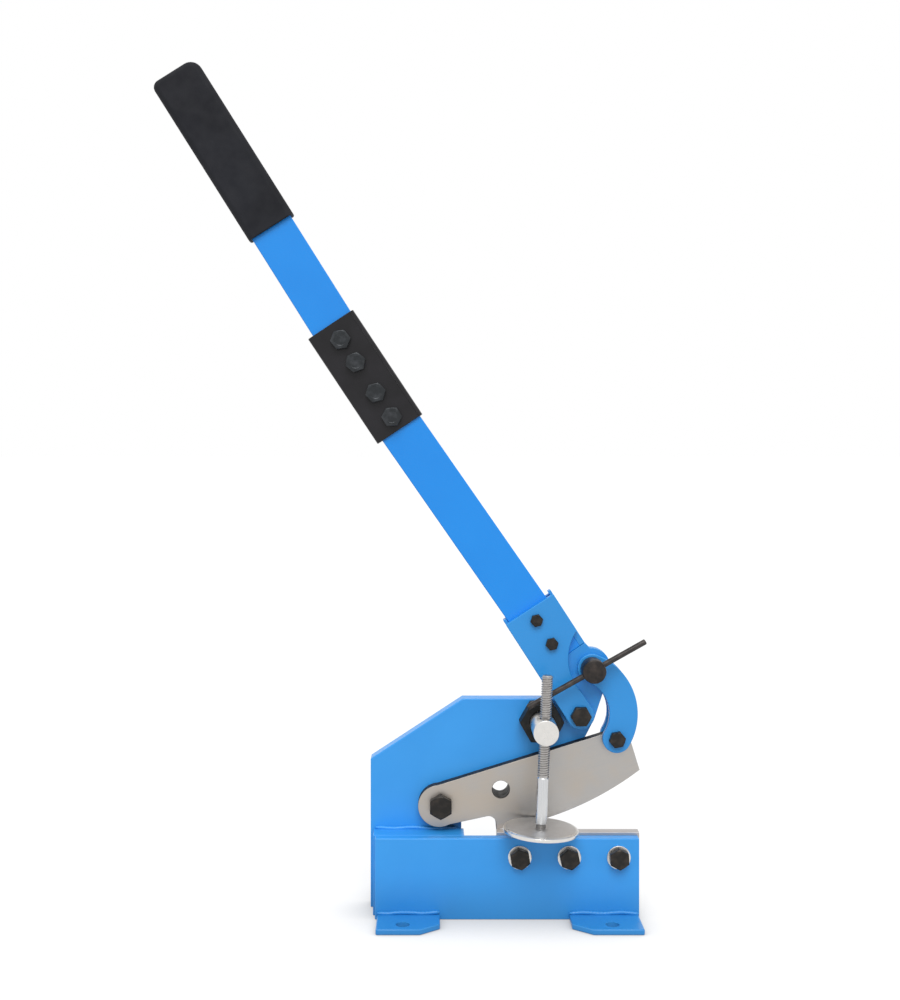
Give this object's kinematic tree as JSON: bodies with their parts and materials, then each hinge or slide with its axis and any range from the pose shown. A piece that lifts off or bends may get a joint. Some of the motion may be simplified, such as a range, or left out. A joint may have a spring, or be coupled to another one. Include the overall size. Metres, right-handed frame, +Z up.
{
  "type": "bench lever shear",
  "caption": "Hand lever shear for sheet and round bar: welded blue frame, curved link drive to a swinging blade, screw hold-down, long two-piece handle with rubber grip.",
  "frame": {"origin": "centre of the four base holes on the floor plane under the feet", "axes": "+X along the blades towards the blade tip, +Y from the front to the back, +Z up"},
  "size_m": [0.4338, 0.1299, 0.7517],
  "materials": {
    "blue_paint": "satin bright blue enamel",
    "ground_steel": "ground tool steel",
    "zinc_steel": "zinc plated steel",
    "black_steel": "black oxide",
    "black_paint": "satin black paint",
    "bronze": "plain bronze bearing",
    "black_rubber": "dipped matt rubber"
  },
  "bodies": {
    "frame": {"rear_plate": "blue_paint", "front_plate": "blue_paint", "spacer_block": "blue_paint", "front_left_foot": "blue_paint", "front_right_foot": "blue_paint", "rear_left_foot": "blue_paint", "rear_right_foot": "blue_paint", "frame_welds": "blue_paint", "lower_blade": "ground_steel", "lower_blade_bolts": "black_steel", "lower_blade_washers": "zinc_steel", "pivot_bush": "bronze", "pivot_bolt": "black_steel", "pivot_nut": "black_steel", "fulcrum_bush": "bronze", "fulcrum_bolt": "black_steel", "fulcrum_nut": "black_steel"},
    "lever": {"crank_plate": "blue_paint", "front_cheek": "blue_paint", "rear_cheek": "blue_paint", "socket_sides": "blue_paint", "socket_screws": "black_steel", "lower_bar": "blue_paint", "upper_bar": "blue_paint", "coupling_sleeve": "black_paint", "coupling_bolts": "black_steel", "coupling_nuts": "black_steel", "grip": "black_rubber"},
    "blade": {"moving_blade": "ground_steel"},
    "link": {"front_link": "blue_paint", "rear_link": "blue_paint", "link_bolt": "black_steel", "link_nut": "black_steel"},
    "pin": {"link_pin": "black_steel", "link_pin_nut": "black_steel"},
    "tommy": {"tommy_bar": "black_steel"},
    "clamp": {"clamp_stud": "zinc_steel", "clamp_nut": "black_steel"},
    "foot": {"clamp_foot": "zinc_steel"},
    "screw": {"clamp_screw": "zinc_steel"}
  },
  "joints": [
    {"name": "lever_swing", "type": "hinge", "parent": "frame", "child": "lever", "pos_m": [0.0666, 0.0021, 0.1743], "axis": [0, 1, 0], "range_deg": [0, 81]},
    {"name": "blade_swing", "type": "hinge", "parent": "frame", "child": "blade", "pos_m": [-0.0565, 0.0021, 0.0935], "axis": [0, 1, 0], "range_deg": [0, 17.6]},
    {"name": "link_swing", "type": "hinge", "parent": "blade", "child": "link", "pos_m": [0.0985, 0.0021, 0.1538], "axis": [0, 1, 0], "range_deg": [0, 1.8]},
    {"name": "pin_turn", "type": "hinge", "parent": "link", "child": "pin", "pos_m": [0.0766, -0.006, 0.216], "axis": [0, 1, 0], "range_deg": [0, 62]},
    {"name": "tommy_slide", "type": "slide", "parent": "pin", "child": "tommy", "axis": [0.8721, 0, 0.4894], "range_m": [-0.035, 0.05]},
    {"name": "clamp_swivel", "type": "hinge", "parent": "frame", "child": "clamp", "pos_m": [0.0327, -0.0132, 0.1679], "axis": [0, 1, 0], "range_deg": [-20, 20]},
    {"name": "foot_feed", "type": "slide", "parent": "clamp", "child": "foot", "axis": [0.0436, 0, 0.999], "range_m": [-0.005, 0.0301]},
    {"name": "screw_turn", "type": "hinge", "parent": "foot", "child": "screw", "pos_m": [0.0327, -0.038, 0.1679], "axis": [0.0436, 0, 0.999], "range_deg": [-910, 5425]}
  ],
  "couplings": [
    {"joint": "blade_swing", "follows": "lever_swing", "ratio": 0.216},
    {"joint": "link_swing", "follows": "lever_swing", "ratio": 0.0216},
    {"joint": "pin_turn", "follows": "lever_swing", "ratio": 0.7624},
    {"joint": "screw_turn", "follows": "foot_feed", "rad_per_m": 3141.6}
  ]
}
